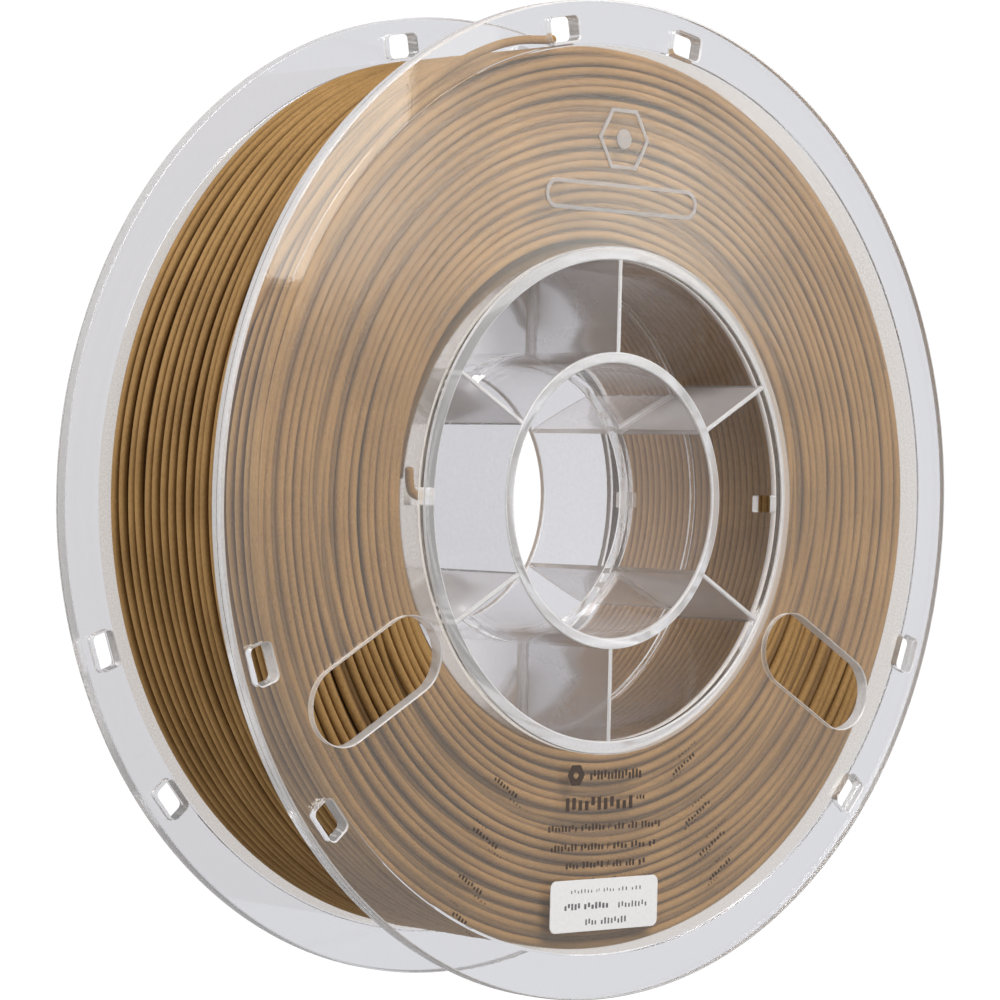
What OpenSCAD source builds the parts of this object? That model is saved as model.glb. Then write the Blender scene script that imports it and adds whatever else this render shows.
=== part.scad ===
// Filament spool: two clear moulded halves, a full winding of filament,
// a label and the printed marks. The spool's axis lies along Y and the
// front flange faces -Y. Origin at the centre of the hub. Sizes in mm.

/* [Flanges] */
// Outside diameter of both flanges
spool_d = 200; // [190:1:210]
// Overall width across the two flanges
spool_w = 52; // [46:1:60]
// Thickness of each flange
flange_t = 3.2; // [2.4:0.1:3.6]
// Diameter inside which the outer face is recessed
recess_d = 182; // [180:1:184]
// Depth of that recess
recess_t = 0.4; // [0.3:0.1:0.6]
// Chamfer on the outer edge of each flange
edge_chamfer = 0.5; // [0.3:0.1:0.8]

/* [Core] */
// Outside diameter of the drum that carries the winding
core_d = 100; // [96:1:104]
// Wall thickness of the drum
core_wall = 1.8; // [1.4:0.1:2.4]
// Width of each anchor hole in the drum, around the axis
anchor_w = 3.6; // [3:0.1:5]
// Length of each anchor hole along the axis
anchor_l = 5.2; // [4:0.1:6]

/* [Hub] */
// Bore that slides over the spool holder
bore_d = 55; // [52:0.5:57]
// Wall thickness of the hub sleeve
sleeve_wall = 2.3; // [1.8:0.1:2.6]
// Gap between the two sleeves at the middle of the spool
sleeve_gap = 2.4; // [1:0.1:4]
// Chamfer at the mouth of the bore
mouth_chamfer = 0.5; // [0.3:0.1:0.8]
// Thickness of each rib between sleeve and drum
rib_t = 1.2; // [0.8:0.1:2]

/* [Openings in the flanges] */
// Radius on which the rim holes are centred
rim_hole_r = 94.4; // [94:0.1:95]
// Width of a rim hole around the axis
rim_hole_w = 8.1; // [6:0.1:9]
// Height of a rim hole along the radius
rim_hole_h = 5.7; // [5:0.1:6.2]
// Angle from the middle of a pair of rim holes to each hole
rim_hole_half_angle = 10.4; // [8:0.1:14]
// Radius on which the long slots are centred
slot_r = 70.4; // [69:0.1:72]
// End to end length of a long slot
slot_l = 34.4; // [28:0.2:36]
// Width of a long slot
slot_w = 15.8; // [12:0.2:17]

/* [Filament] */
// Diameter of one strand
strand_d = 1.75; // [1.7:0.05:1.8]
// Outside diameter of the winding
winding_d = 180.6; // [150:0.2:181]

/* [Label and print] */
// Width of the label
label_w = 29.8; // [24:0.2:32]
// Height of the label
label_h = 10.4; // [8:0.2:12]
// Thickness of the label
label_t = 0.2; // [0.1:0.05:0.25]
// Distance of the label's centre below the axis
label_r = 80.9; // [78:0.1:82]
// Thickness of the printed marks
ink_t = 0.05; // [0.04:0.01:0.1]

/* [Output] */
// Sub-part to build, or all of them

/* [Hidden] */
$fn = 180;
half_w = spool_w / 2;
inner_z = half_w - flange_t;
face_z = half_w - recess_t;
spool_r = spool_d / 2;
core_r = core_d / 2;
core_in_r = core_r - core_wall;
bore_r = bore_d / 2;
sleeve_r = bore_r + sleeve_wall;
winding_r = winding_d / 2;
eps = 1;
clear = [0.86, 0.87, 0.9, 0.35];
wood = [0.52, 0.4, 0.24];

// Local frame: x to the right, y up, z along the axis towards the front.
module place() {
  rotate([90, 0, 0]) children();
}

module rounded_rect(w, h, r) {
  square([w - 2 * r, h], center = true);
  square([w, h - 2 * r], center = true);
  for (sx = [-1, 1], sy = [-1, 1])
    translate([sx * (w / 2 - r), sy * (h / 2 - r)])
      circle(r = r, $fn = 24);
}

module stadium(l, w) {
  square([l - w, w], center = true);
  for (s = [-1, 1])
    translate([s * (l - w) / 2, 0])
      circle(d = w, $fn = 48);
}

// Pairs of holes near the rim, at the top and at both lower corners.
module rim_holes() {
  for (a = [90, 210, 330], s = [-1, 1])
    rotate([0, 0, a + s * rim_hole_half_angle])
      translate([rim_hole_r, 0, inner_z - eps])
        linear_extrude(height = flange_t + 2 * eps)
          rounded_rect(rim_hole_h, rim_hole_w, 1.6);
}

// Long radial slots that show how much filament is left.
module long_slots() {
  for (a = [210, 330])
    rotate([0, 0, a])
      translate([slot_r, 0, inner_z - eps])
        linear_extrude(height = flange_t + 2 * eps)
          stadium(slot_l, slot_w);
}

// Flange ring with its chamfered edge and the recess on its outer face.
module flange_ring() {
  rotate_extrude()
    polygon([
      [core_in_r, inner_z],
      [spool_r, inner_z],
      [spool_r, half_w - edge_chamfer],
      [spool_r - edge_chamfer, half_w],
      [recess_d / 2 + recess_t, half_w],
      [recess_d / 2, face_z],
      [core_r + 1.4, face_z],
      [core_r + 1, half_w],
      [core_in_r, half_w]
    ]);
}

module flange_half() {
  difference() {
    flange_ring();
    rim_holes();
    long_slots();
  }
}

// Raised hexagon badge and plain bar on the front flange.
module relief() {
  translate([0, 72.5, face_z])
    linear_extrude(height = 0.25)
      difference() {
        circle(r = 7, $fn = 6);
        circle(r = 5.8, $fn = 6);
      }
  translate([0, 72.5, face_z])
    cylinder(h = 0.25, r = 2, $fn = 48);
  translate([0, 60.5, face_z])
    linear_extrude(height = 0.25)
      difference() {
        stadium(42, 6);
        stadium(40, 4);
      }
}

module anchor_holes() {
  for (s = [-1, 1])
    translate([s * core_r, 0, inner_z - anchor_l / 2])
      cube([4 * core_wall, anchor_w, anchor_l], center = true);
}

// Half of the drum, from the middle plane up to the flange.
module drum_half() {
  difference() {
    cylinder(h = inner_z, r = core_r);
    translate([0, 0, -eps])
      cylinder(h = inner_z + 2 * eps, r = core_in_r);
    anchor_holes();
  }
}

module sleeve_half() {
  rotate_extrude()
    polygon([
      [bore_r, sleeve_gap / 2],
      [sleeve_r, sleeve_gap / 2],
      [sleeve_r, half_w],
      [bore_r + mouth_chamfer, half_w],
      [bore_r, half_w - mouth_chamfer]
    ]);
}

// One radial rib between the sleeve and the drum.
module rib_half(k) {
  rotate([0, 0, 30 + 60 * (k - 1)])
    difference() {
      translate([sleeve_r - eps, -rib_t / 2, 0])
        cube([core_in_r - sleeve_r + eps, rib_t, half_w]);
      translate([0, 0, -eps])
        cylinder(h = half_w + 2 * eps, r = sleeve_r);
      rib_outer_cut();
    }
}

// Everything outside the inner face of the drum.
module rib_outer_cut() {
  translate([0, 0, -eps])
    difference() {
      cylinder(h = half_w + 2 * eps, r = core_r + 5);
      translate([0, 0, -eps])
        cylinder(h = half_w + 4 * eps, r = core_in_r);
    }
}

module front_flange() {
  color(clear) place() {
    flange_half();
    relief();
  }
}

module front_drum() {
  color(clear) place() drum_half();
}

module front_hub_sleeve() {
  color(clear) place() sleeve_half();
}

module front_rib(k) {
  color(clear) place() rib_half(k);
}

module rear_flange() {
  color(clear) place() mirror([0, 0, 1]) flange_half();
}

module rear_drum() {
  color(clear) place() mirror([0, 0, 1]) drum_half();
}

module rear_hub_sleeve() {
  color(clear) place() mirror([0, 0, 1]) sleeve_half();
}

module rear_rib(k) {
  color(clear) place() mirror([0, 0, 1]) rib_half(k);
}

// The whole winding as one ring between the flanges.
module filament_winding() {
  color(wood) place()
    rotate_extrude()
      polygon([
        [core_r, -inner_z],
        [winding_r, -inner_z],
        [winding_r, inner_z],
        [core_r, inner_z]
      ]);
}

// Free end: angle in degrees, clearance above the winding, place along the
// axis measured from the flange's inner face.
free_end_path = [
  [162, 0.9, -11], [158, 0.9, -10], [154, 0.95, -9],
  [150, 1, -8], [146, 1.15, -7], [142, 1.3, -6.2],
  [138, 1.5, -5.4], [134, 1.8, -4.6], [130, 2.15, -4],
  [126, 2.55, -3.4], [122, 3, -2.8], [118, 3.4, -2.3],
  [114, 3.7, -1.9], [110, 3.75, -1.6], [107, 3.5, -1.5],
  [105, 3.1, -1.4], [103.6, 2.75, -1.25], [102.6, 2.5, -1],
  [101.9, 2.4, -0.5], [101.7, 2.37, 0.2], [101.6, 2.35, 1.3]
];

function path_point(p) = [
  (winding_r + p[1]) * cos(p[0]),
  (winding_r + p[1]) * sin(p[0]),
  inner_z + p[2]
];

function unit(v) = v / norm(v);

// Eight-sided tube through a list of points.
module tube(pts, r) {
  n = len(pts);
  rings = [for (i = [0:n - 1])
    let (
      t = unit(pts[min(i + 1, n - 1)] - pts[max(i - 1, 0)]),
      out = unit([pts[i][0], pts[i][1], 0]),
      u = unit(cross(t, out)),
      v = cross(u, t)
    )
    for (k = [0:7])
      pts[i] + r * (cos(45 * k) * u + sin(45 * k) * v)
  ];
  sides = [for (i = [0:n - 2], k = [0:7])
    [i * 8 + k, i * 8 + (k + 1) % 8, (i + 1) * 8 + (k + 1) % 8, (i + 1) * 8 + k]
  ];
  cap_a = [for (k = [7:-1:0]) k];
  cap_b = [for (k = [0:7]) (n - 1) * 8 + k];
  polyhedron(points = rings, faces = concat(sides, [cap_a, cap_b]));
}

module filament_free_end() {
  color(wood) place()
    tube([for (p = free_end_path) path_point(p)], strand_d / 2);
}

// Inner end, bent through the anchor hole on the left.
module filament_inner_end() {
  color(wood) place()
    intersection() {
      translate([-core_r - 1, 0, inner_z - anchor_l / 2])
        rotate([0, 90, 0])
          cylinder(h = 1 + core_wall + 1.2, d = strand_d, $fn = 32);
      cylinder(h = half_w, r = core_r);
    }
}

module label() {
  color([0.96, 0.96, 0.97]) place()
    translate([0, -label_r, face_z])
      linear_extrude(height = label_t)
        rounded_rect(label_w, label_h, 1.5);
}

// One printed bar, centred at x, y.
module ink_bar(x, y, w, h) {
  translate([x, y, face_z + ink_t / 2])
    cube([w, h, ink_t], center = true);
}

module printed_marks() {
  color([0.16, 0.12, 0.09]) place() {
    translate([-8.6, -54.6, face_z])
      linear_extrude(height = ink_t)
        difference() {
          circle(r = 2.2, $fn = 6);
          circle(r = 1, $fn = 6);
        }
    ink_bar(1.8, -54.6, 15, 1.8);
    ink_bar(-1, -60.2, 23, 2.4);
    ink_bar(-1, -64.6, 31, 0.9);
    ink_bar(-1, -67.2, 28, 0.9);
    ink_bar(-1, -69.8, 21, 0.9);
    ink_bar(-1, -72.4, 9, 0.9);
  }
}

front_flange();
front_drum();
front_hub_sleeve();
front_rib(1);  // front_rib_1
front_rib(2);  // front_rib_2
front_rib(3);  // front_rib_3
front_rib(4);  // front_rib_4
front_rib(5);  // front_rib_5
front_rib(6);  // front_rib_6
rear_flange();
rear_drum();
rear_hub_sleeve();
rear_rib(1);  // rear_rib_1
rear_rib(2);  // rear_rib_2
rear_rib(3);  // rear_rib_3
rear_rib(4);  // rear_rib_4
rear_rib(5);  // rear_rib_5
rear_rib(6);  // rear_rib_6
filament_winding();
filament_free_end();
filament_inner_end();
label();
printed_marks();
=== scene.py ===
"""Filament spool: two clear moulded halves, a wood-coloured winding, a label and printed marks.

Shapes are made in the spool's own frame, x right, y up, z to the front, in mm from the middle of the hub.
row() and rows() turn that into the CAD's frame in metres."""
import math

import bpy
import bmesh
import numpy as np
from mathutils import Matrix, Vector, noise


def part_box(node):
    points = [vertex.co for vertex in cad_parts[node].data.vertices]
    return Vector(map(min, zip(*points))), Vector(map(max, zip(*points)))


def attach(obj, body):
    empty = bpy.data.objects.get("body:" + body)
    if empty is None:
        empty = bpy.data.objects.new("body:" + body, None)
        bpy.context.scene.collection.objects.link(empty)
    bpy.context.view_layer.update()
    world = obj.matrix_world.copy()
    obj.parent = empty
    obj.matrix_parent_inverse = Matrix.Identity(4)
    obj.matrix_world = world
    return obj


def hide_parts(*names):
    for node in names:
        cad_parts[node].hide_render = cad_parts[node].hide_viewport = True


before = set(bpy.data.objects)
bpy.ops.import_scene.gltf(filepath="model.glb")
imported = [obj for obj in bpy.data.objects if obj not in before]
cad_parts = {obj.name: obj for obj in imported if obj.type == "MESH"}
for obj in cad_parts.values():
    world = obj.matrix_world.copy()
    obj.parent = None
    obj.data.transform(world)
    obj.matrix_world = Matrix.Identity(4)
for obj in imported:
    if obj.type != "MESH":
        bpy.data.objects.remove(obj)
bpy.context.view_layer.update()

MM = 0.001
TAU = 2 * math.pi

# ---------------------------------------------------------------- sizes, mm
HALF_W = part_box("front_flange")[0].y / -MM        # 26
SPOOL_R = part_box("front_flange")[1].x / MM        # 100
INNER_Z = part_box("filament_winding")[1].y / MM    # 22.8
DRUM_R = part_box("front_drum")[1].x / MM           # 50
WIND_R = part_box("filament_winding")[1].x / MM     # 90.3
DRUM_IN_R = 48.2
BORE_R = 27.5
SLEEVE_R = 29.8
SLEEVE_GAP = 1.2              # half the gap between the hub sleeves
SEAM = 0.05                   # half the gap between the halves
RECESS_R = 91.0
RECESS_T = 0.4
FACE_Z = HALF_W - RECESS_T    # bottom of the recess
STRAND_R = 0.875

# Holes are listed at their narrowest. Their edges flare out from there.
RIM_HOLE_R, RIM_HOLE_H, RIM_HOLE_W, RIM_HOLE_CORNER = 94.4, 4.9, 7.5, 1.1
RIM_HOLE_AT, RIM_HOLE_SPREAD = (90, 210, 330), 10.4     # degrees: pairs, and half the angle in a pair
SLOT_R, SLOT_L, SLOT_W, SLOT_CORNER = 70.4, 33.8, 15.2, 7.59
SLOT_AT = (210, 330)
ANCHOR_Z, ANCHOR_W, ANCHOR_L, ANCHOR_CORNER = 20.18, 3.6, 5.1, 0.4
ANCHOR_FROM, ANCHOR_TO = 46.0, 51.6           # radii between which the drum wall is cut
RIBS = 6


def row(p):
    """Spool frame (x right, y up, z to the front) in mm to the row frame in metres."""
    return (p[0] * MM, -p[2] * MM, p[1] * MM)


def rows(points):
    """row() for an array of points."""
    a = np.asarray(points, float)
    return np.stack([a[:, 0], -a[:, 2], a[:, 1]], -1) * MM


def polar(r, deg):
    a = math.radians(deg)
    return r * math.cos(a), r * math.sin(a)


# ------------------------------------------------------------------ camera
LENS = 136.204
CAMERA_AT = (-0.527747, -0.570855, 0.002629)
CAMERA_RIGHT = (0.73905, -0.67316, 0.02581)
CAMERA_FORWARD = (0.67346, 0.73922, -0.00405)

cam_data = bpy.data.cameras.new("camera")
cam = bpy.data.objects.new("camera", cam_data)
bpy.context.scene.collection.objects.link(cam)
bpy.context.scene.camera = cam
cam_data.sensor_width = 36
cam_data.lens = LENS
cam_data.clip_start, cam_data.clip_end = 0.01, 60
right = Vector(CAMERA_RIGHT).normalized()
forward = Vector(CAMERA_FORWARD).normalized()
up = right.cross(forward).normalized()
right = forward.cross(up)
pose = Matrix((right, up, -forward)).transposed().to_4x4()
pose.translation = Vector(CAMERA_AT)
cam.matrix_world = pose


# --------------------------------------------------------------- materials
def material(name):
    mat = bpy.data.materials.new(name)
    mat.use_nodes = True
    nt = mat.node_tree
    return mat, nt, nt.nodes["Principled BSDF"]


def object_coords(nt):
    return nt.nodes.new("ShaderNodeTexCoord").outputs["Object"]


def noise_fac(nt, vector, scale, detail, rough):
    n = nt.nodes.new("ShaderNodeTexNoise")
    n.inputs["Scale"].default_value = scale
    n.inputs["Detail"].default_value = detail
    n.inputs["Roughness"].default_value = rough
    nt.links.new(vector, n.inputs["Vector"])
    return n.outputs["Fac"]


def bump(nt, height, strength, distance, normal=None):
    b = nt.nodes.new("ShaderNodeBump")
    b.inputs["Strength"].default_value = strength
    b.inputs["Distance"].default_value = distance
    nt.links.new(height, b.inputs["Height"])
    if normal is not None:
        nt.links.new(normal, b.inputs["Normal"])
    return b.outputs["Normal"]


def set_colour(nt, bsdf, fac, *stops):
    """Base colour from a ramp over fac. A stop is (position, colour)."""
    ramp = nt.nodes.new("ShaderNodeValToRGB")
    e = ramp.color_ramp.elements
    e[0].position, e[0].color = stops[0][0], (*stops[0][1], 1)
    e[1].position, e[1].color = stops[-1][0], (*stops[-1][1], 1)
    for position, colour in stops[1:-1]:
        e.new(position).color = (*colour, 1)
    nt.links.new(fac, ramp.inputs["Fac"])
    nt.links.new(ramp.outputs["Color"], bsdf.inputs["Base Color"])


def set_roughness(nt, bsdf, fac, low, high):
    span = nt.nodes.new("ShaderNodeMapRange")
    span.inputs["To Min"].default_value = low
    span.inputs["To Max"].default_value = high
    nt.links.new(fac, span.inputs["Value"])
    nt.links.new(span.outputs["Result"], bsdf.inputs["Roughness"])


def clear_material(name, transmission, rough, low, high, ior=1.5, wave=0.015):
    """Clear moulded plastic: a little milky, with the faint flow waves and grain of the mould."""
    mat, nt, bsdf = material(name)
    bsdf.inputs["Roughness"].default_value = rough
    bsdf.inputs["IOR"].default_value = ior
    bsdf.inputs["Transmission Weight"].default_value = transmission
    co = object_coords(nt)
    waves = noise_fac(nt, co, scale=40.0, detail=2.0, rough=0.4)
    fine = noise_fac(nt, co, scale=1500.0, detail=2.0, rough=0.5)
    set_colour(nt, bsdf, fine, (0.3, low), (0.7, high))
    wavy = bump(nt, waves, strength=wave, distance=0.0006)
    normal = bump(nt, fine, strength=0.04, distance=0.00005, normal=wavy)
    nt.links.new(normal, bsdf.inputs["Normal"])
    return mat


def frosted_material():
    """Outer face of the recess: the same plastic from an etched part of the mould. Its warm tint is painted
    light, the brown glow of the strands behind scattered by the frosted face.
    """
    mat, nt, bsdf = material("frosted_plastic")
    bsdf.inputs["IOR"].default_value = 1.5
    bsdf.inputs["Specular IOR Level"].default_value = 0.38
    bsdf.inputs["Transmission Weight"].default_value = 0.95
    grain = noise_fac(nt, object_coords(nt), scale=2500.0, detail=3.0, rough=0.7)
    # The grain varies the tone; the warm colour of both stops is painted light from the strands behind.
    set_colour(nt, bsdf, grain, (0.38, (0.78, 0.68, 0.56)), (0.62, (1.0, 0.93, 0.82)))
    set_roughness(nt, bsdf, grain, low=0.05, high=0.19)
    nt.links.new(bump(nt, grain, strength=0.07, distance=0.0001), bsdf.inputs["Normal"])
    return mat


def filament_material(name, low, mid, high):
    """Wood-filled filament: matte, with fine fibres along the strand and specks."""
    mat, nt, bsdf = material(name)
    co = object_coords(nt)
    along = nt.nodes.new("ShaderNodeAttribute")
    along.attribute_name = "strand"
    fibre = noise_fac(nt, along.outputs["Vector"], scale=2.2, detail=4.0, rough=0.65)
    speck = noise_fac(nt, co, scale=2600.0, detail=2.0, rough=0.5)
    broad = noise_fac(nt, co, scale=55.0, detail=3.0, rough=0.55)
    mix = nt.nodes.new("ShaderNodeMix")
    mix.data_type = "FLOAT"
    mix.inputs["Factor"].default_value = 0.5
    nt.links.new(fibre, mix.inputs["A"])
    nt.links.new(broad, mix.inputs["B"])
    set_colour(nt, bsdf, mix.outputs["Result"], (0.30, low), (0.5, mid), (0.72, high))
    set_roughness(nt, bsdf, speck, low=0.62, high=0.9)
    bsdf.inputs["Specular IOR Level"].default_value = 0.45
    fibrous = bump(nt, fibre, strength=0.5, distance=0.00012)
    normal = bump(nt, speck, strength=0.5, distance=0.00006, normal=fibrous)
    nt.links.new(normal, bsdf.inputs["Normal"])
    return mat


def paper_material():
    mat, nt, bsdf = material("label_paper")
    fibres = noise_fac(nt, object_coords(nt), scale=1400.0, detail=4.0, rough=0.6)
    set_colour(nt, bsdf, fibres, (0.3, (0.86, 0.86, 0.88)), (0.7, (0.93, 0.93, 0.94)))
    bsdf.inputs["Roughness"].default_value = 0.55
    nt.links.new(bump(nt, fibres, strength=0.15, distance=0.00005), bsdf.inputs["Normal"])
    return mat


def ink_material(name, dark, light):
    mat, nt, bsdf = material(name)
    patch = noise_fac(nt, object_coords(nt), scale=1800.0, detail=3.0, rough=0.6)
    set_colour(nt, bsdf, patch, (0.3, dark), (0.75, light))
    bsdf.inputs["Roughness"].default_value = 0.5
    return mat


def relief_material():
    mat, nt, bsdf = material("relief_plastic")
    bsdf.inputs["IOR"].default_value = 1.5
    bsdf.inputs["Transmission Weight"].default_value = 0.75
    bsdf.inputs["Roughness"].default_value = 0.3
    grain = noise_fac(nt, object_coords(nt), scale=1500.0, detail=3.0, rough=0.6)
    set_colour(nt, bsdf, grain, (0.3, (0.9, 0.9, 0.91)), (0.7, (0.98, 0.98, 0.99)))
    return mat


CLEAR = clear_material("clear_plastic", 0.98, 0.01, (0.975, 0.975, 0.98), (1.0, 1.0, 1.0))
WALL = clear_material("clear_wall_plastic", 0.975, 0.02, (0.93, 0.92, 0.93), (0.985, 0.98, 0.985), ior=1.30)
RIB = clear_material("clear_rib_plastic", 0.74, 0.16, (0.84, 0.825, 0.85), (0.93, 0.92, 0.94), ior=1.28)
RIM = clear_material("clear_rim_plastic", 0.80, 0.06, (0.86, 0.865, 0.89), (0.95, 0.95, 0.97), wave=0.03)
RING = clear_material("clear_ring", 0.68, 0.12, (0.83, 0.835, 0.86), (0.91, 0.915, 0.935))
EDGE = clear_material("clear_edge_plastic", 0.45, 0.25, (0.86, 0.86, 0.885), (0.97, 0.97, 0.99))
FROSTED = frosted_material()
WOOD = filament_material("wood_filament", (0.20, 0.108, 0.030), (0.325, 0.182, 0.058), (0.44, 0.262, 0.095))
# The same filament painted darker: painted shade for the turns that lie deep in the winding, under the turns
# above.
SHADED_WOOD = filament_material("wood_filament_painted_shade",
                         (0.12, 0.062, 0.020), (0.18, 0.098, 0.033), (0.24, 0.138, 0.050))
PAPER = paper_material()
INK = ink_material("print_ink", (0.035, 0.02, 0.012), (0.07, 0.045, 0.03))
GREY_INK = ink_material("label_ink", (0.10, 0.10, 0.11), (0.22, 0.22, 0.24))
RELIEF = relief_material()


# ------------------------------------------------------------ mesh helpers
def linked(name, mesh):
    ob = bpy.data.objects.new(name, mesh)
    bpy.context.scene.collection.objects.link(ob)
    return ob


def smooth(me, angle):
    me.polygons.foreach_set("use_smooth", [True] * len(me.polygons))
    me.set_sharp_from_angle(angle=math.radians(angle))


def new_object(name, verts, faces, mat, smooth_angle=30.0):
    """Object from points in the spool frame, mm."""
    me = bpy.data.meshes.new(name)
    me.from_pydata([tuple(v) for v in rows(verts)], [], [tuple(f) for f in faces])
    me.validate()
    ob = linked(name, me)
    me.materials.append(mat)
    smooth(me, smooth_angle)
    return ob


def consistent_normals(me):
    bm = bmesh.new()
    bm.from_mesh(me)
    bmesh.ops.recalc_face_normals(bm, faces=bm.faces)
    bm.to_mesh(me)
    bm.free()


def revolve(profile, n):
    """Closed ring swept from a closed (r, z) outline, listed counter-clockwise."""
    k = len(profile)
    pr = np.array(profile)
    a = np.arange(n) * TAU / n
    v = np.stack([np.outer(np.cos(a), pr[:, 0]), np.outer(np.sin(a), pr[:, 0]),
                  np.tile(pr[:, 1], (n, 1))], -1).reshape(-1, 3)
    f = []
    for i in range(n):
        for j in range(k):
            i2, j2 = (i + 1) % n, (j + 1) % k
            f.append((i * k + j, i2 * k + j, i2 * k + j2, i * k + j2))
    return v, f


def loft(loops):
    """Closed solid through equal-length 3D loops, with flat ends."""
    k = len(loops[0])
    v = [p for loop in loops for p in loop]
    f = [tuple(range(k - 1, -1, -1)), tuple(range((len(loops) - 1) * k, len(loops) * k))]
    for i in range(len(loops) - 1):
        for j in range(k):
            j2 = (j + 1) % k
            f.append((i * k + j, i * k + j2, (i + 1) * k + j2, (i + 1) * k + j))
    return v, f


def at_height(outline, z):
    return [(x, y, z) for x, y in outline]


def rounded_outline(w, h, r, seg=8):
    """Counter-clockwise rounded rectangle, w along x and h along y."""
    pts = []
    for cx, cy, a0 in ((1, 1, 0), (-1, 1, 90), (-1, -1, 180), (1, -1, 270)):
        for s in range(seg + 1):
            a = math.radians(a0 + 90 * s / seg)
            pts.append((cx * (w / 2 - r) + r * math.cos(a), cy * (h / 2 - r) + r * math.sin(a)))
    return pts


def joined(parts):
    v, f = [], []
    for pv, pf in parts:
        base = len(v)
        v += [tuple(p) for p in pv]
        f += [tuple(i + base for i in face) for face in pf]
    return v, f


def temp(name, part):
    """Working object in mm, used up by boolean()."""
    me = bpy.data.meshes.new(name)
    me.from_pydata([tuple(p) for p in part[0]], [], part[1])
    ob = linked(name, me)
    consistent_normals(me)
    return ob


def boolean(target, tool, operation):
    mod = target.modifiers.new("b", "BOOLEAN")
    mod.object = tool
    mod.operation = operation
    mod.solver = "EXACT"
    dg = bpy.context.evaluated_depsgraph_get()
    me = bpy.data.meshes.new_from_object(target.evaluated_get(dg))
    target.modifiers.clear()
    old = target.data
    target.data = me
    bpy.data.meshes.remove(old)
    bpy.data.objects.remove(tool)


# ------------------------------------------------------------- clear halves
def arc(cx, cz, r, a0, a1, n):
    return [(cx + r * math.cos(math.radians(a0 + (a1 - a0) * i / n)),
             cz + r * math.sin(math.radians(a0 + (a1 - a0) * i / n))) for i in range(n + 1)]


def flange_profile():
    """Drum wall, flange, recess and rim in one outline. Extra points keep the shading of flat faces flat."""
    p = [(DRUM_IN_R + 0.2, SEAM), (DRUM_R - 0.15, SEAM), (DRUM_R, SEAM + 0.15)]
    p += [(DRUM_R, 0.5), (DRUM_R, 8.0), (DRUM_R, 15.0), (DRUM_R, INNER_Z - 1.2)]
    p += arc(DRUM_R + 0.9, INNER_Z - 0.9, 0.9, 180, 90, 4)          # fillet under the flange
    p += [(60, INNER_Z), (75, INNER_Z), (RECESS_R, INNER_Z)]
    p += arc(SPOOL_R - 0.3, INNER_Z + 0.3, 0.3, -90, 0, 4)          # inner edge of the rim
    p += [(SPOOL_R, 24.25), (SPOOL_R - 0.07, 24.35), (SPOOL_R - 0.07, 25.25), (SPOOL_R, 25.35)]
    p += arc(SPOOL_R - 0.45, HALF_W - 0.45, 0.45, 0, 90, 5)         # outer edge of the rim
    p += [(RECESS_R + 0.45, HALF_W), (RECESS_R + 0.3, HALF_W - 0.06), (RECESS_R + 0.08, FACE_Z + 0.05)]
    p += [(RECESS_R - 0.12, FACE_Z), (75, FACE_Z), (60, FACE_Z)]
    p += [(50.95, FACE_Z), (50.85, FACE_Z + 0.05), (50.75, HALF_W - 0.08), (50.65, HALF_W)]
    p += arc(DRUM_IN_R + 0.35, HALF_W - 0.35, 0.35, 90, 180, 4)     # mouth of the drum
    p += [(DRUM_IN_R, HALF_W - 0.7), (DRUM_IN_R, 15.0), (DRUM_IN_R, 8.0), (DRUM_IN_R, 0.5)]
    p += [(DRUM_IN_R, SEAM + 0.2)]
    return p


def sleeve_profile():
    z0, z1 = SLEEVE_GAP, HALF_W
    p = [(BORE_R + 0.15, z0), (SLEEVE_R - 0.15, z0), (SLEEVE_R, z0 + 0.15), (SLEEVE_R, z0 + 0.4)]
    p += [(SLEEVE_R, 9), (SLEEVE_R, 18), (SLEEVE_R, z1 - 0.6)]
    p += arc(SLEEVE_R - 0.3, z1 - 0.3, 0.3, 0, 90, 4)
    p += arc(BORE_R + 0.5, z1 - 0.5, 0.5, 90, 180, 4)
    p += [(BORE_R, z1 - 0.8), (BORE_R, 18), (BORE_R, 9), (BORE_R, z0 + 0.4), (BORE_R, z0 + 0.15)]
    return p


def hole_cutter(outline, face_z, edge_r):
    """Prism through the flange that flares at both faces, so the hole's edges come out rounded."""
    steps, sweep = 4, 78
    loops = [at_height(outline(0.65), INNER_Z - 0.5), at_height(outline(0.0), INNER_Z + 0.15)]
    for i in range(steps + 1):
        a = math.radians(sweep * i / steps)
        loops.append(at_height(outline(edge_r * (1 - math.cos(a))), face_z - edge_r + edge_r * math.sin(a)))
    flare = edge_r * (1 - math.cos(math.radians(sweep)))
    loops.append(at_height(outline(flare + 0.8), face_z + 0.6))
    return loft(loops)


def placed(outline, r, deg):
    """Moves an outline (radial along x, tangential along y) to radius r at an angle."""
    c, s = math.cos(math.radians(deg)), math.sin(math.radians(deg))
    return [((r + x) * c - y * s, (r + x) * s + y * c) for x, y in outline]


def cutters():
    """Rim holes, crescent slots and anchor holes."""
    parts = []
    for a in RIM_HOLE_AT:
        for s in (-1, 1):
            def rim(o, d=a + s * RIM_HOLE_SPREAD):
                hole = rounded_outline(RIM_HOLE_H + 2 * o, RIM_HOLE_W + 2 * o, RIM_HOLE_CORNER + o, 5)
                return placed(hole, RIM_HOLE_R, d)
            parts.append(hole_cutter(rim, HALF_W, 0.3))
    for a in SLOT_AT:
        def slot(o, d=a):
            return placed(rounded_outline(SLOT_L + 2 * o, SLOT_W + 2 * o, SLOT_CORNER + o, 14), SLOT_R, d)
        parts.append(hole_cutter(slot, FACE_Z, 0.35))
    anchor = rounded_outline(ANCHOR_W, ANCHOR_L, ANCHOR_CORNER, 3)
    for s in (-1, 1):
        ends = sorted((s * ANCHOR_FROM, s * ANCHOR_TO))
        parts.append(loft([[(x, y, z + ANCHOR_Z) for y, z in anchor] for x in ends]))
    return joined(parts)


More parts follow.
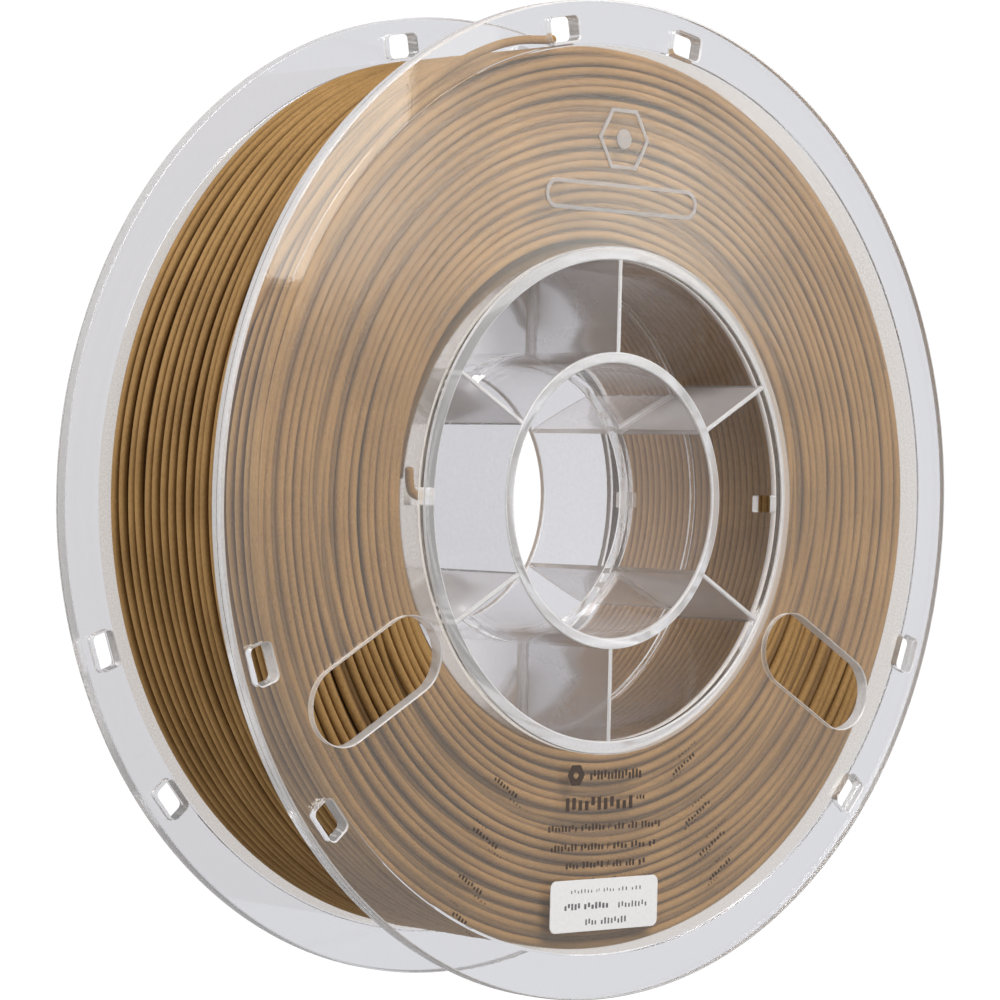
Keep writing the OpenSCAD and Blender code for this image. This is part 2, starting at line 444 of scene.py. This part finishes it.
def rib(deg):
    """Radial web with rounded front edges and a small bead along the edge at the middle plane."""
    t0, t1, bead, top_z = 0.60, 0.52, 0.75, HALF_W - 0.08      # half thicknesses, and the front edge
    section = [(-bead, SEAM), (bead, SEAM), (bead, 0.9), (t0, 1.2), (t1, top_z - 0.25), (t1 - 0.25, top_z),
               (0.25 - t1, top_z), (-t1, top_z - 0.25), (-t0, 1.2), (-bead, 0.9)]
    c, s = math.cos(math.radians(deg)), math.sin(math.radians(deg))
    return loft([[(r * c - y * s, r * s + y * c, z) for y, z in section]
                 for r in (SLEEVE_R - 0.6, SLEEVE_R + 6, DRUM_IN_R - 6, DRUM_IN_R + 0.5)])


RING_FOOT_R = 51.2            # just outside the raised ring around the drum's mouth
BETWEEN_R = 60                # somewhere between that ring and the rim
FINISHES = (CLEAR, FROSTED, WALL, RIB, RIM, EDGE, RING)
IS_CLEAR, IS_FROSTED, IS_WALL, IS_RIB, IS_RIM, IS_EDGE, IS_RING = range(len(FINISHES))


def finish_of(f):
    """Finish of a face of a clear half: plain and seam faces clear, recess frosted, then the walls of
    drum and sleeve, the ribs, the rim's bands, the tops of the two rings, and every edge."""
    c, n = f.calc_center_median() / MM, f.normal
    r, z = math.hypot(c.x, c.z), abs(c.y)
    flat = abs(n.y) > 0.99
    at_top = z > HALF_W - 0.05
    if z < SLEEVE_GAP + 0.2 and flat:
        return IS_CLEAR
    if r < BETWEEN_R and flat and at_top:
        return IS_RING
    if flat and r > RING_FOOT_R and z > INNER_Z - 0.1:
        return IS_FROSTED if abs(z - FACE_Z) < 0.02 and r < RECESS_R else IS_CLEAR
    if RECESS_R - 0.2 < r < RECESS_R + 0.6 and z > FACE_Z - 0.02 and n.y * n.y > 0.05:
        return IS_CLEAR
    radial = abs(n.x * c.x + n.z * c.z) / r
    if r > SPOOL_R - 0.2 and radial > 0.9:
        return IS_EDGE
    if radial > 0.999 and min(abs(r - s) for s in (BORE_R, SLEEVE_R, DRUM_IN_R, DRUM_R)) < 0.08:
        return IS_WALL
    if SLEEVE_R < r < DRUM_IN_R and abs(n.y) < 0.1 and radial < 0.05 and z > 1.1:
        return IS_RIB
    if r > BETWEEN_R and (flat and at_top or r > RECESS_R + 0.3 and z < HALF_W - 0.25):
        return IS_RIM
    return IS_EDGE


FLANGE_SEGMENTS, SLEEVE_SEGMENTS = 288, 192
FLAT = 0.999                  # how far a flat face's normal points along the axis


def clear_half(name, sign):
    """One moulding as a single mesh, for the front (sign 1) or the rear (sign -1)."""
    body = temp("t_body", revolve(flange_profile(), FLANGE_SEGMENTS))
    boolean(body, temp("t_cut", cutters()), "DIFFERENCE")
    sleeve = temp("t_sleeve", revolve(sleeve_profile(), SLEEVE_SEGMENTS))
    ribs = temp("t_ribs", joined([rib(30 + 360 / RIBS * k) for k in range(RIBS)]))
    bm = bmesh.new()
    bm.from_mesh(body.data)
    bm.from_mesh(sleeve.data)
    bm.to_mesh(body.data)
    bm.free()
    bpy.data.objects.remove(sleeve)
    boolean(body, ribs, "UNION")
    me = body.data
    bpy.data.objects.remove(body)
    bm = bmesh.new()
    bm.from_mesh(me)
    bmesh.ops.remove_doubles(bm, verts=bm.verts, dist=1e-4)
    bmesh.ops.triangulate(bm, faces=[f for f in bm.faces if len(f.verts) > 4])
    for v in bm.verts:
        v.co = Vector(row((v.co.x, v.co.y, v.co.z * sign)))
    bmesh.ops.recalc_face_normals(bm, faces=bm.faces)
    for f in bm.faces:
        f.material_index = finish_of(f)
    out = bpy.data.meshes.new(name)
    bm.to_mesh(out)
    bm.free()
    bpy.data.meshes.remove(me)
    ob = linked(name, out)
    for finish in FINISHES:
        out.materials.append(finish)
    smooth(out, 28)
    for poly in out.polygons:                      # flat faces refract as flat ones
        if abs(poly.normal.y) > FLAT:
            poly.use_smooth = False
    side_name = "front" if sign > 0 else "rear"
    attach(ob, "root")
    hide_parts(f"{side_name}_flange", f"{side_name}_drum", f"{side_name}_hub_sleeve",
                *[f"{side_name}_rib_{k}" for k in range(1, RIBS + 1)])
    ob.visible_shadow = False
    ob.visible_diffuse = False
    return ob


front_half = clear_half("front_half", 1)
clear_half("rear_half", -1)


# ---------------------------------------------------------------- strands
STEPS = 240                   # points per turn
GRAIN_PER_MM = 0.55
CALM_TURNS = 1.5              # a layer stops wandering this far from its ends
SEED_STEP = 3.7               # how far apart seeds move in the noise


def tube(path, sides):
    """Strand along path (spool frame, mm) with rounded ends. Returns vertices, faces and, for each
    vertex, the place along and around the strand that its grain follows."""
    r = STRAND_R
    p = np.asarray(path, float)
    n = len(p)
    t = np.gradient(p, axis=0)
    t /= np.linalg.norm(t, axis=1)[:, None]
    out = p.copy()
    out[:, 2] = 0
    out /= np.linalg.norm(out, axis=1)[:, None]
    u = np.cross(t, out)
    u /= np.linalg.norm(u, axis=1)[:, None]
    v = np.cross(u, t)
    s = np.concatenate([[0], np.cumsum(np.linalg.norm(np.diff(p, axis=0), axis=1))])
    ang = np.arange(sides) * TAU / sides
    cos, sin = np.cos(ang), np.sin(ang)
    ring = p[:, None] + r * (cos[None, :, None] * u[:, None] + sin[None, :, None] * v[:, None])
    verts = ring.reshape(-1, 3)
    grain = np.stack([np.repeat(s * GRAIN_PER_MM, sides), np.tile(cos, n), np.tile(sin, n)], -1)
    i = np.arange(n - 1)[:, None] * sides
    k = np.arange(sides)[None]
    k2 = (k + 1) % sides
    j = i + sides
    faces = np.stack([i + k, j + k, j + k2, i + k2], -1).reshape(-1, 4).tolist()
    for e, sign in ((0, -1), (n - 1, 1)):
        first, base = e * sides, len(verts)
        centre = p[e] + sign * t[e] * r * 0.5
        inset = p[e] + sign * t[e] * r * 0.35 + 0.72 * r * (cos[:, None] * u[e] + sin[:, None] * v[e])
        verts = np.concatenate([verts, inset, centre[None]])
        grain = np.concatenate([grain, grain[first:first + sides], grain[first][None]])
        for a in range(sides):
            b = (a + 1) % sides
            faces.append([first + a, first + b, base + b, base + a][::sign])
            faces.append([base + a, base + b, base + sides][::sign])
    return verts, faces, grain


def add_grain(me, values):
    at = me.attributes.new("strand", "FLOAT_VECTOR", "POINT")
    at.data.foreach_set("vector", values.astype(np.float32).ravel())


def strand_object(name, path, sides=8, finish=WOOD):
    verts, faces, grain = tube(path, sides)
    me = bpy.data.meshes.new(name)
    me.from_pydata(rows(verts).tolist(), [], faces)
    consistent_normals(me)
    add_grain(me, grain)
    me.materials.append(finish)
    smooth(me, 60)
    ob = linked(name, me)
    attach(ob, "root")
    return ob


def wander(a, u, seed, reach, across):
    """Smooth noise around the turns (angle a) and from turn to turn (u)."""
    x, y = math.cos(a) * reach, math.sin(a) * reach
    return noise.noise(Vector((x + seed, y - seed, u * across + SEED_STEP * seed)))


def smoothed(x, width):
    """Running average over width points each way, which takes the kinks out of a climb."""
    k = np.hanning(2 * width + 3)[1:-1]
    k /= k.sum()
    padded = np.concatenate([np.full(width, x[0]), x, np.full(width, x[-1])])
    return np.convolve(padded, k, "valid")


def end_dive(u, turns, reach, depth):
    """How far a strand has left its layer within reach turns of either end."""
    end = min(u, turns - u) / reach
    return depth * (1 - end * end * (3 - 2 * end)) if end < 1 else 0.0


def calm_at_ends(u, turns):
    """0 at both ends of a layer, 1 in the middle."""
    return min(1.0, u / CALM_TURNS, (turns - u) / CALM_TURNS)


def to_path(a, r, z):
    return np.stack([r * np.cos(a), r * np.sin(a), z], -1)


def layer(radius, z_edge, turns, amp, seed, start, dip, narrow=None, steps=(1.0,), swell=None, dive=1.7):
    """One helical layer whose turns wander, dip a little and dive under at both ends.

    start is an angle in degrees. steps gives the relative spacing of successive turns, which puts
    them in touching groups with gaps between. A negative dive lifts the ends outwards."""
    n = round(turns * STEPS) + 1
    u = np.arange(n) / STEPS
    a = u * TAU + math.radians(start)
    whole = int(math.ceil(turns))
    marks = np.concatenate([[0], np.cumsum([steps[k % len(steps)] for k in range(whole)])])
    share = np.interp(u, np.arange(whole + 1), marks) / np.interp(turns, np.arange(whole + 1), marks)
    z, r = np.empty(n), np.empty(n)
    for i in range(n):
        w = wander(a[i], u[i], seed, 1.1, 0.8) + 0.35 * wander(a[i], u[i], seed + 9.3, 2.5, 0.9)
        width = 2 * z_edge - (narrow(a[i]) if narrow else 0.0)
        z[i] = -z_edge + width * share[i] + amp * calm_at_ends(u[i], turns) * w
        r[i] = radius + min(0.0, dip * wander(a[i], u[i], seed + 3.3, 0.8, 1.7))
        r[i] += swell(a[i]) if swell else 0.0
        r[i] -= end_dive(u[i], turns, 0.16, dive)
    return to_path(a, r, np.clip(z, -z_edge, z_edge))


def right_gap(a):
    """How far the last outer turns stay from the front flange around the right side."""
    return 2.6 * max(0.0, math.cos(a - math.radians(8))) ** 2


def left_gap(a):
    """How far the first layer stays from the front flange around the left side."""
    return 3.8 * max(0.0, math.cos(a - math.radians(182))) ** 0.7


def top_swell(a):
    """The outer turns stand higher where the strand was laid last, near the top."""
    x = (math.degrees(a) - 116 + 180) % 360 - 180
    return 1.5 * math.exp(-(x / 24) ** 2)


EDGE_Z = INNER_Z - STRAND_R - 0.05        # centre of a strand that lies against a flange
OUTER_STEPS = (0.80, 1.42, 0.76, 1.50, 0.78, 0.95, 1.18, 0.76, 1.28,
               1.08, 0.76, 1.12, 0.76, 0.98, 0.76, 1.22, 0.76, 0.9)
outer_path = layer(WIND_R - 0.9, EDGE_Z, turns=18, amp=0.75, seed=1.7, start=20, dip=0.5,
                   narrow=right_gap, steps=OUTER_STEPS, swell=top_swell)
under_path = layer(WIND_R - 2.6, EDGE_Z - 0.3, turns=23, amp=0.2, seed=5.1, start=60, dip=0.3)
drum_path = layer(DRUM_R + 0.93, EDGE_Z - 0.2, turns=24, amp=0.08, seed=8.3, start=176, dip=0.0,
                  narrow=left_gap, dive=-0.8)

SIDE_TURNS = 18
SIDE_FIRST, SIDE_LAST = DRUM_R + 1.3, WIND_R - 1.75
SIDE_START = {1: 205, -1: 160}            # degrees, for the front and the rear
LOW_DROP = 1.15                           # from the turns near the flange to the lower ones
LIFT, LIFT_TURNS, LIFT_AT = 2.8, 3.5, 172     # the first turns stand off the drum on the left
SINK, SINK_FROM, SINK_SPAN = 1.5, 0.14, 0.2   # where the noise is high, a turn sinks from the flange


def side(seed, sign, low=False):
    """Turns that show at one side face: spaced turns near the flange, and lower ones in their gaps."""
    n = SIDE_TURNS * STEPS + 1
    u = np.arange(n) / STEPS
    a = u * TAU + math.radians(SIDE_START[sign])
    pitch = (SIDE_LAST - SIDE_FIRST) / SIDE_TURNS
    r, z = np.empty(n), np.empty(n)
    for i in range(n):
        v = u[i] + (0.5 if low else 0.0)
        left = max(0.0, math.cos(a[i] - math.radians(LIFT_AT))) ** 0.8
        lift = LIFT * left * math.exp(-v / LIFT_TURNS) * (1 if sign > 0 else 0.3)
        calm = calm_at_ends(u[i], SIDE_TURNS)
        r[i] = SIDE_FIRST + pitch * v + lift + 0.75 * wander(a[i], v, seed + 4.1, 1.3, 0.7) * calm
        sink = min(1.0, max(0.0, (wander(a[i], v, seed + 2.9, 0.75, 2.3) - SINK_FROM) / SINK_SPAN))
        z[i] = EDGE_Z - 0.05 - 0.5 * abs(wander(a[i], v, seed, 1.0, 0.9)) - SINK * sink * calm
        if low:
            z[i] -= LOW_DROP
        z[i] -= end_dive(u[i], SIDE_TURNS, 0.12, 1.6)
    z = np.clip(smoothed(z, STEPS // 20), None, EDGE_Z)
    return to_path(a, np.minimum(r, SIDE_LAST), z * sign)


def spline(pts, per=8):
    """Catmull-Rom curve through points."""
    p = np.asarray(pts, float)
    q = np.concatenate([[2 * p[0] - p[1]], p, [2 * p[-1] - p[-2]]])
    out = []
    for i in range(len(p) - 1):
        a, b, c, d = q[i:i + 4]
        for k in range(per):
            t = k / per
            out.append(0.5 * ((2 * b) + (c - a) * t + (2 * a - 5 * b + 4 * c - d) * t * t
                              + (3 * b - a - 3 * c + d) * t ** 3))
    out.append(p[-1])
    return np.array(out)


# Free end: angle in degrees, clearance above the winding, place along the axis from the flange.
FREE_END = ((184, -2.2, -13.4), (176, -1.3, -12.6), (169, -0.1, -11.8), (162, 0.4, -11), (158, 0.6, -10),
            (154, 0.8, -9), (150, 1, -8), (146, 1.15, -7), (142, 1.3, -6.2), (138, 1.5, -5.4),
            (134, 1.8, -4.6), (130, 2.15, -4), (126, 2.55, -3.4), (122, 3, -2.8), (118, 3.4, -2.3),
            (114, 3.7, -1.9), (110, 3.75, -1.6), (107, 3.5, -1.5), (105, 3.1, -1.4), (103.6, 2.75, -1.25),
            (102.6, 2.5, -1), (101.9, 2.4, -0.5), (101.7, 2.37, 0.2), (101.6, 2.35, 1.3))
# Inner end, bent through the anchor hole on the left.
INNER_END = ((-51.6, 5.2, 20.9), (-51.3, 3.0, 20.7), (-50.6, 1.2, 20.4), (-49.4, 0.3, 20.25),
             (-48.2, 0.05, 20.2), (-47.0, 0.0, 20.2))

outer_turns = strand_object("outer_turns", outer_path)
# The under layer and the lower side turns get the filament with painted shade, for the shade in the gaps
# between the turns above.
under_turns = strand_object("under_turns", under_path, finish=SHADED_WOOD)
front_turns = strand_object("front_side_turns", side(2.2, 1))
rear_turns = strand_object("rear_side_turns", side(6.6, -1))
front_low = strand_object("front_low_turns", side(2.2, 1, low=True), finish=SHADED_WOOD)
rear_low = strand_object("rear_low_turns", side(6.6, -1, low=True), finish=SHADED_WOOD)
inner_turns = strand_object("inner_turns", drum_path)
for ob in (outer_turns, under_turns, front_turns, rear_turns, front_low, rear_low, inner_turns):
    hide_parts("filament_winding")

# Smooth body under the turns, a little ridged where it shows between them, in the filament with painted
# shade.
CORE_Z, CORE_IN_R, CORE_OUT_R, CORE_SEGMENTS = 19.6, 54.6, 86.2, 144
core_profile = [(CORE_IN_R, -CORE_Z), (64, -CORE_Z - 0.1), (75, -CORE_Z), (CORE_OUT_R, -CORE_Z)]
core_profile += [(86.4 + 0.35 * (i % 2), -19.2 + 38.4 * i / 23) for i in range(24)]         # ridges outside
core_profile += [(CORE_OUT_R, CORE_Z), (75, CORE_Z), (64, CORE_Z + 0.1), (CORE_IN_R, CORE_Z)]
core_profile += [(52.6 + 0.3 * (i % 2), 17.0 - 34.0 * i / 19) for i in range(20)]           # ridges inside
core_verts, core_faces = revolve(core_profile, CORE_SEGMENTS)
core = new_object("winding_core", core_verts, core_faces, SHADED_WOOD)
add_grain(core.data, core_verts * 0.6)
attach(core, "root")
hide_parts("filament_winding")

free_path = spline([(*polar(WIND_R + clear, deg), INNER_Z + z) for deg, clear, z in FREE_END])
free_piece = strand_object("free_end", free_path, 10)
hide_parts("filament_free_end")
inner_piece = strand_object("inner_end", spline(INNER_END), 10)
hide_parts("filament_inner_end")


# ------------------------------------------------------ label, print, relief
def box_outline(cx, cy, w, h, r, rot=0.0, seg=3):
    c, s = math.cos(math.radians(rot)), math.sin(math.radians(rot))
    r = min(r, w / 2 - 0.001, h / 2 - 0.001)
    return [(cx + x * c - y * s, cy + x * s + y * c) for x, y in rounded_outline(w, h, r, seg)]


def ngon(cx, cy, r, n):
    return [(cx + r * math.cos(math.radians(360 * k / n)), cy + r * math.sin(math.radians(360 * k / n)))
            for k in range(n)]


def slab(outline, z0, thick):
    return loft([at_height(outline, z0), at_height(outline, z0 + thick)])


def bevelled_slab(cx, cy, w, h, r, z0, thick, inset, bevel, seg=3):
    """Thin rounded plate whose top edge slopes in by inset over the last bevel of its height."""
    foot = box_outline(cx, cy, w, h, r, seg=seg)
    top = box_outline(cx, cy, w - 2 * inset, h - 2 * inset, max(r - inset, 0.01), seg=seg)
    return loft([at_height(foot, z0), at_height(foot, z0 + thick - bevel), at_height(top, z0 + thick)])


def ring_slab(outer, inner, z0, thick):
    """Flat frame between two outlines that have the same number of points."""
    k = len(outer)
    v = [p for z in (z0, z0 + thick) for outline in (outer, inner) for p in at_height(outline, z)]
    f = []
    for i in range(k):
        j = (i + 1) % k
        f.append((i, j, 2 * k + j, 2 * k + i))
        f.append((k + j, k + i, 3 * k + i, 3 * k + j))
        f.append((2 * k + i, 2 * k + j, 3 * k + j, 3 * k + i))
        f.append((j, i, k + i, k + j))
    return v, f


DASH_HEIGHTS = (0.72, 1.0, 0.8, 0.64, 0.9)


def word(cx, cy, w, h, rot=0.0, pitch=0.95, fill=0.55):
    """A word-sized run of small upright dashes, which stands for printed text."""
    n = max(2, round(w / pitch))
    c, s = math.cos(math.radians(rot)), math.sin(math.radians(rot))
    out = []
    for i in range(n):
        x = (i - (n - 1) / 2) * w / n
        tall = DASH_HEIGHTS[(i * 3 + n) % 5] * h
        y = (tall - h) / 2 * (-1) ** (i % 3)
        out.append((cx + x * c - y * s, cy + x * s + y * c, w / n * fill, tall, rot))
    return out


def lines_of_words(lines):
    """Each line is its left end, its height, the dashes' height, the words' widths, the gap between
    them, the dashes' pitch and the share of it that they fill."""
    out = []
    for x, y, h, widths, gap, pitch, fill in lines:
        for w in widths:
            out += word(x + w / 2, y, w, h, pitch=pitch, fill=fill)
            x += w + gap
    return out


LABEL_Z = FACE_Z + 0.01
label_sheet = bevelled_slab(0, -80.9, 29.8, 10.4, 1.5, LABEL_Z, 0.17, inset=0.05, bevel=0.05, seg=8)
label = new_object("label_sheet", *label_sheet, PAPER, 25)
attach(label, "root")
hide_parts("label")

LABEL_LINES = (
    (-9.6, -78.0, 0.8, (6.4, 1.2, 3.4, 3.0, 3.2), 0.7, 0.95, 0.32),
    (-11.2, -81.0, 1.3, (4.6, 7.0), 0.8, 0.95, 0.62),
    (3.6, -81.2, 1.25, (8.4,), 0.6, 0.95, 0.45),
    (-5.4, -84.2, 1.3, (3.4, 7.4), 0.9, 0.95, 0.5),
)
LABEL_MARKS_Z = FACE_Z + 0.18 + 0.004
label_dashes = joined([bevelled_slab(x, y, w, h, 0.08, LABEL_MARKS_Z, 0.012, inset=0.01, bevel=0.004)
                       for x, y, w, h, _ in lines_of_words(LABEL_LINES)])
label_marks = new_object("label_marks", *label_dashes, GREY_INK, 25)
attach(label_marks, "root")
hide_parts("label")

PRINT_LINES = (
    (-4.9, -54.9, 1.9, (14.6,), 0.6, 0.95, 0.62),
    (-11.6, -60.6, 2.6, (19.2,), 0.6, 1.7, 0.56),
    (8.2, -59.7, 0.9, (2.6,), 0.6, 0.95, 0.56),
    (-16.0, -65.3, 1.35, (8.2, 6.8, 0.8, 3.0, 3.0, 5.6), 0.8, 0.95, 0.58),
    (-15.2, -69.2, 1.35, (7.4, 6.6, 0.8, 4.2, 4.2, 2.2), 0.8, 0.95, 0.58),
    (-11.0, -72.8, 1.35, (3.8, 6.0, 0.8, 2.8, 2.8, 2.2), 0.8, 0.95, 0.58),
    (-4.6, -76.1, 1.3, (3.8, 0.8, 3.4), 0.8, 0.95, 0.58),
)
# Slanted scale marks on both sides of the print: centre and width of each.
LEFT_MARKS = ((-27.5, -56.5, 7.4), (-32.6, -66.2, 8.0), (-36.2, -75.0, 7.4), (-38.8, -81.5, 4.6))
RIGHT_MARKS = ((21.5, -53.5, 7.6), (26.0, -63.5, 8.4), (30.5, -70.0, 8.8), (33.0, -75.5, 7.4))
PRINT_Z, PRINT_T = FACE_Z + 0.012, 0.02

dashes = lines_of_words(PRINT_LINES)
for k, (x, y, w) in enumerate(LEFT_MARKS):
    dashes += word(x, y, w, 1.0, -34)
    dashes += word(x + 2.6, y - 3.2, w * 0.55, 0.5, -30, fill=0.3)
    if k % 2:
        dashes += word(x - 1.5, y + 3.0, w * 0.6, 0.5, -34, fill=0.3)
for x, y, w in RIGHT_MARKS:
    dashes += word(x, y, w, 0.9, 33)
    dashes += word(x + 1.0, y + 3.0, w * 0.8, 0.5, 33, fill=0.3)
    dashes += word(x - 2.0, y - 2.4, w * 0.5, 0.5, 33, fill=0.3)
printed = [slab(box_outline(x, y, w, h, 0.1, rot), PRINT_Z, PRINT_T) for x, y, w, h, rot in dashes]
printed.append(ring_slab(ngon(-8.6, -54.8, 2.35, 6), ngon(-8.6, -54.8, 0.75, 6), PRINT_Z, PRINT_T))
print_piece = new_object("print", *joined(printed), INK)
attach(print_piece, "root")
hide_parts("printed_marks")

RELIEF_Z, RELIEF_T = FACE_Z + 0.01, 0.22
EMBLEM_AT, BAR_AT = (0, 72.5), (0, 60.5)
relief_parts = [
    ring_slab(ngon(*EMBLEM_AT, 7.0, 6), ngon(*EMBLEM_AT, 6.1, 6), RELIEF_Z, RELIEF_T),
    ring_slab(box_outline(*BAR_AT, 42, 6, 2.99, seg=12), box_outline(*BAR_AT, 40.4, 4.4, 2.19, seg=12),
              RELIEF_Z, RELIEF_T),
    slab(ngon(*EMBLEM_AT, 2.0, 32), RELIEF_Z, RELIEF_T),
]
relief = new_object("relief", *joined(relief_parts), RELIEF)
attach(relief, "root")
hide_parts("front_flange")


# ---------------------------------------------------------- floor and light
AMBIENT = (0.70, 0.703, 0.735)      # room light in reflections and through the plastic
SOFT = (0.345, 0.333, 0.318)        # room light on matte surfaces
WHITE = (1, 1, 1, 1)
FLOOR_HALF, FLOOR_CLEAR = 12, 0.0002    # half the floor's width and the gap under the spool, metres


def room_colour(nt, path):
    """SOFT for diffuse rays and AMBIENT for all others."""
    mix = nt.nodes.new("ShaderNodeMix")
    mix.data_type = "RGBA"
    mix.inputs["A"].default_value = (*AMBIENT, 1)
    mix.inputs["B"].default_value = (*SOFT, 1)
    nt.links.new(path.outputs["Is Diffuse Ray"], mix.inputs["Factor"])
    return mix.outputs["Result"]


def for_camera(nt, path, seen, other, output):
    """The seen shader for camera rays and the other one for all the rest."""
    mix = nt.nodes.new("ShaderNodeMixShader")
    nt.links.new(path.outputs["Is Camera Ray"], mix.inputs["Fac"])
    nt.links.new(other.outputs[0], mix.inputs[1])
    nt.links.new(seen.outputs[0], mix.inputs[2])
    nt.links.new(mix.outputs[0], output.inputs["Surface"])


def emitter(nt, kind, strength=1.0):
    n = nt.nodes.new(kind)
    n.inputs["Color"].default_value = WHITE
    n.inputs["Strength"].default_value = strength
    return n


def stage_floor():
    bm = bmesh.new()
    bmesh.ops.create_grid(bm, x_segments=24, y_segments=24, size=FLOOR_HALF)
    for v in bm.verts:
        v.co.z = -SPOOL_R * MM - FLOOR_CLEAR
    me = bpy.data.meshes.new("floor")
    bm.to_mesh(me)
    bm.free()
    ob = linked("floor", me)
    mat = bpy.data.materials.new("floor")
    mat.use_nodes = True
    nt = mat.node_tree
    nt.nodes.clear()
    output = nt.nodes.new("ShaderNodeOutputMaterial")
    path = nt.nodes.new("ShaderNodeLightPath")
    matte = nt.nodes.new("ShaderNodeBsdfDiffuse")
    matte.inputs["Color"].default_value = (0.12, 0.12, 0.12, 1)
    seen = nt.nodes.new("ShaderNodeAddShader")
    nt.links.new(emitter(nt, "ShaderNodeEmission", 0.98).outputs[0], seen.inputs[0])
    nt.links.new(matte.outputs[0], seen.inputs[1])
    other = emitter(nt, "ShaderNodeEmission")
    nt.links.new(room_colour(nt, path), other.inputs["Color"])
    for_camera(nt, path, seen, other, output)
    me.materials.append(mat)


def white_world():
    world = bpy.data.worlds.new("world")
    bpy.context.scene.world = world
    world.use_nodes = True
    nt = world.node_tree
    nt.nodes.clear()
    output = nt.nodes.new("ShaderNodeOutputWorld")
    path = nt.nodes.new("ShaderNodeLightPath")
    seen = emitter(nt, "ShaderNodeBackground", 1.05)
    other = emitter(nt, "ShaderNodeBackground")
    nt.links.new(room_colour(nt, path), other.inputs["Color"])
    for_camera(nt, path, seen, other, output)


stage_floor()
white_world()


def area_light(name, at, look, size, radiance, colour):
    """Rectangular softbox of a given radiance, seen in reflections but not by the camera."""
    data = bpy.data.lights.new(name, "AREA")
    data.shape = "RECTANGLE"
    data.size, data.size_y = size
    data.energy = radiance * math.pi * size[0] * size[1]
    data.color = colour
    ob = linked(name, data)
    ob.rotation_euler = (Vector(look) - Vector(at)).to_track_quat("-Z", "Y").to_euler()
    ob.location = at
    ob.visible_camera = False
    return ob


def receivers(name, *objects):
    """Collection for light linking: a light that has it reaches only these objects."""
    group = bpy.data.collections.new(name)
    for ob in objects:
        group.objects.link(ob)
    return group


def direct_only(light):
    """Keep a panel out of everything that is seen through the clear plastic."""
    light.data.use_nodes = True
    nt = light.data.node_tree
    emit = next(n for n in nt.nodes if n.type == "EMISSION")
    path = nt.nodes.new("ShaderNodeLightPath")
    first = nt.nodes.new("ShaderNodeMath")
    first.operation = "LESS_THAN"
    first.inputs[1].default_value = 0.5
    nt.links.new(path.outputs["Transmission Depth"], first.inputs[0])
    nt.links.new(first.outputs[0], emit.inputs["Strength"])


WARM_WHITE = (1.0, 0.985, 0.96)
area_light("key", (-1.65, 0.55, 0.85), (0, 0, 0), (0.6, 0.9), 13.0, (1.0, 0.99, 0.97))
front_light = area_light("front_light", (0.0, -0.50, 0.38), (0, 0, 0), (0.4, 0.4), 7.0, WARM_WHITE)

# Panels whose mirror images in the front half's face are the band of glare and the soft veil beside
# it. They stand in one plane, GLARE_FAR along its normal. Each row has the panel's extent along the
# plane's two axes, in metres, and its radiance.
GLARE_FAR = 1.2
GLARE_COLOUR = (1.0, 0.965, 0.90)
glare_z = Vector((0.66042, -0.74548, 0.09006))
glare_x = Vector((0.74852, 0.66312, 0.0))
glare_y = glare_z.cross(glare_x)
only_front = receivers("glare_receivers", front_half)
for name, x0, x1, y0, y1, radiance in (("glare", -0.146, -0.075, -0.004, 0.118, 6.2),
                                       ("glare_soft", -0.074, -0.030, 0.030, 0.128, 1.2),
                                       ("veil", -0.015, 0.100, -0.040, 0.084, 5.0)):
    panel = area_light(name, (0, 0, 0), (0, 0, 1), (x1 - x0, y1 - y0), radiance, GLARE_COLOUR)
    pose = Matrix((glare_x, glare_y, glare_z)).transposed().to_4x4()
    pose.translation = GLARE_FAR * glare_z + (x0 + x1) / 2 * glare_x + (y0 + y1) / 2 * glare_y
    panel.matrix_world = pose
    panel.light_linking.receiver_collection = only_front
    direct_only(panel)

fill = area_light("filament_fill", (-0.30, -0.62, -0.34), (0, 0, 0), (0.3, 0.3), 3.0, WARM_WHITE)
fill.light_linking.receiver_collection = receivers(
    "fill_receivers", outer_turns, under_turns, front_turns, rear_turns, front_low, rear_low, core,
    free_piece)

# The first layer sits behind the drum wall, where little of the front light reaches it.
not_inside = receivers("front_light_receivers", inner_turns)
not_inside.collection_objects[0].light_linking.link_state = "EXCLUDE"
front_light.light_linking.receiver_collection = not_inside

sc = bpy.context.scene
sc.view_settings.view_transform = "Standard"
sc.cycles.max_bounces = 24
sc.cycles.transmission_bounces = 20
sc.cycles.transparent_max_bounces = 16
sc.cycles.glossy_bounces = 8
sc.cycles.diffuse_bounces = 4
